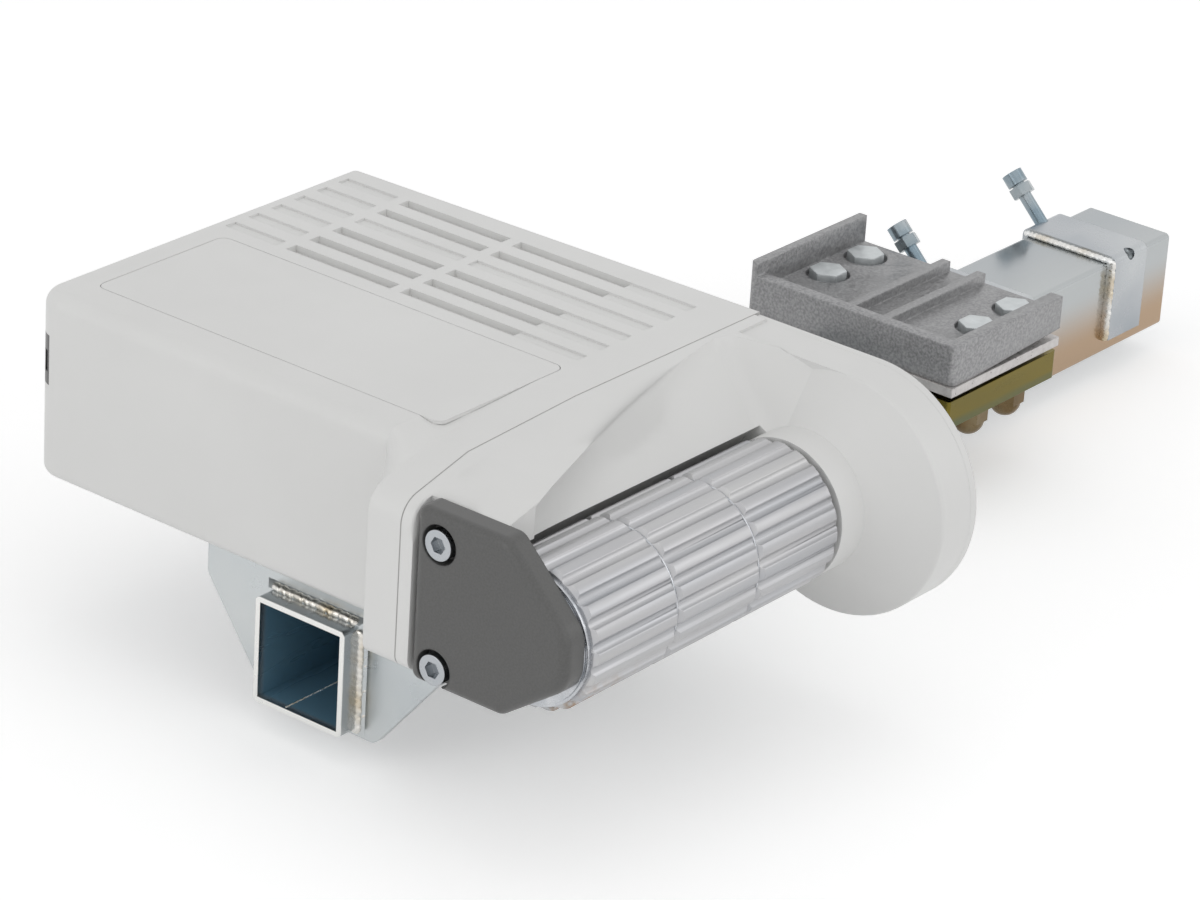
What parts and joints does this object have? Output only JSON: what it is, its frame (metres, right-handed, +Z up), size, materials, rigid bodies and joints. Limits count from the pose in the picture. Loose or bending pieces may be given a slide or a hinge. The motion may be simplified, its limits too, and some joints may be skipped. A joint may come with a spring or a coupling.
{
  "type": "caravan motor mover",
  "caption": "Caravan motor mover with ribbed drive roller, geared motor unit, sliding engagement and clamp on a square cross tube",
  "frame": {"origin": "middle of the chassis clamp's seat on the top face of the square cross tube", "axes": "+X along the tube and the roller's axis, away from the wheel end; -Y towards the tyre that the roller presses on; +Z up"},
  "size_m": [0.793, 0.4263, 0.184],
  "materials": {
    "white_shell": "off-white moulded plastic with a fine satin texture",
    "grey_bracket": "dark grey powder-coated casting",
    "dark_insert": "black moulded insert",
    "red_lens": "dark red translucent plastic",
    "zinc_steel": "bright zinc-plated steel",
    "galvanised": "galvanised welded steel",
    "hard_steel": "ground steel",
    "roller_alu": "extruded aluminium, plain",
    "cast_grey": "grey cast iron with a rough skin",
    "yellow_zinc": "yellow-passivated zinc plating",
    "frame_alu": "cast and machined aluminium",
    "motor_black": "black painted steel can",
    "bronze": "sintered bronze",
    "board_green": "green circuit board",
    "relay_blue": "blue relay cases",
    "terminal_grey": "grey terminal strip"
  },
  "bodies": {
    "chassis_mount": {"cross_tube": "zinc_steel", "side_plate_outboard": "galvanised", "side_plate_inboard": "galvanised", "guide_rods": "hard_steel", "rod_blocks": "frame_alu", "block_bolts": "zinc_steel", "collar_near": "zinc_steel", "collar_far": "zinc_steel", "set_screws": "zinc_steel", "lock_nuts": "zinc_steel", "clamp_spacer": "zinc_steel", "clamp_casting": "cast_grey", "clamp_bars": "yellow_zinc", "clamp_bolts": "zinc_steel", "clamp_washers": "zinc_steel", "clamp_nuts": "zinc_steel", "engage_rack": "hard_steel"},
    "drive_unit": {"main_housing": "white_shell", "top_lid": "white_shell", "rear_inlay": "dark_insert", "indicator_lens": "red_lens", "front_cover": "white_shell", "gear_lid": "white_shell", "end_bracket": "grey_bracket", "bracket_screws": "zinc_steel", "seal_ring": "hard_steel", "drive_frame": "frame_alu", "linear_bushes": "bronze", "gearbox_plate": "frame_alu", "bearing_outboard": "hard_steel", "bearing_inboard": "hard_steel", "motor_can": "motor_black", "motor_end_cap": "motor_black", "engage_motor": "motor_black", "control_board": "board_green", "relays": "relay_blue", "terminal_block": "terminal_grey"},
    "roller": {"roller_shaft": "hard_steel", "roller_section_outboard": "roller_alu", "roller_section_middle": "roller_alu", "roller_section_inboard": "roller_alu", "roller_rings": "hard_steel", "end_disc": "hard_steel", "final_gear": "hard_steel"},
    "second_stage": {"second_pinion": "hard_steel", "second_gear": "hard_steel"},
    "first_stage": {"first_pinion": "hard_steel", "first_gear": "hard_steel"},
    "motor_drive": {"motor_pinion": "hard_steel"},
    "engage_drive": {"engage_pinion": "hard_steel"}
  },
  "joints": [
    {"name": "unit_slide", "type": "slide", "parent": "chassis_mount", "child": "drive_unit", "axis": [0, -1, 0], "range_m": [0, 0.045]},
    {"name": "roller_spin", "type": "hinge", "parent": "drive_unit", "child": "roller", "pos_m": [-0.414, -0.1627, 0.0541], "axis": [1, 0, 0], "continuous": true},
    {"name": "second_spin", "type": "hinge", "parent": "drive_unit", "child": "second_stage", "pos_m": [-0.278, -0.09869, 0.06539], "axis": [1, 0, 0], "continuous": true},
    {"name": "first_spin", "type": "hinge", "parent": "drive_unit", "child": "first_stage", "pos_m": [-0.278, -0.03769, 0.06539], "axis": [1, 0, 0], "continuous": true},
    {"name": "motor_spin", "type": "hinge", "parent": "drive_unit", "child": "motor_drive", "pos_m": [-0.282, 0.00761, 0.07337], "axis": [1, 0, 0], "continuous": true},
    {"name": "engage_spin", "type": "hinge", "parent": "drive_unit", "child": "engage_drive", "pos_m": [-0.391, 0.022, 0.0177], "axis": [1, 0, 0], "range_deg": [0, 258]}
  ],
  "couplings": [
    {"joint": "second_spin", "follows": "roller_spin", "ratio": -4.2},
    {"joint": "first_spin", "follows": "roller_spin", "ratio": 11.812},
    {"joint": "motor_spin", "follows": "roller_spin", "ratio": -42.525},
    {"joint": "engage_spin", "follows": "unit_slide", "rad_per_m": 100}
  ]
}
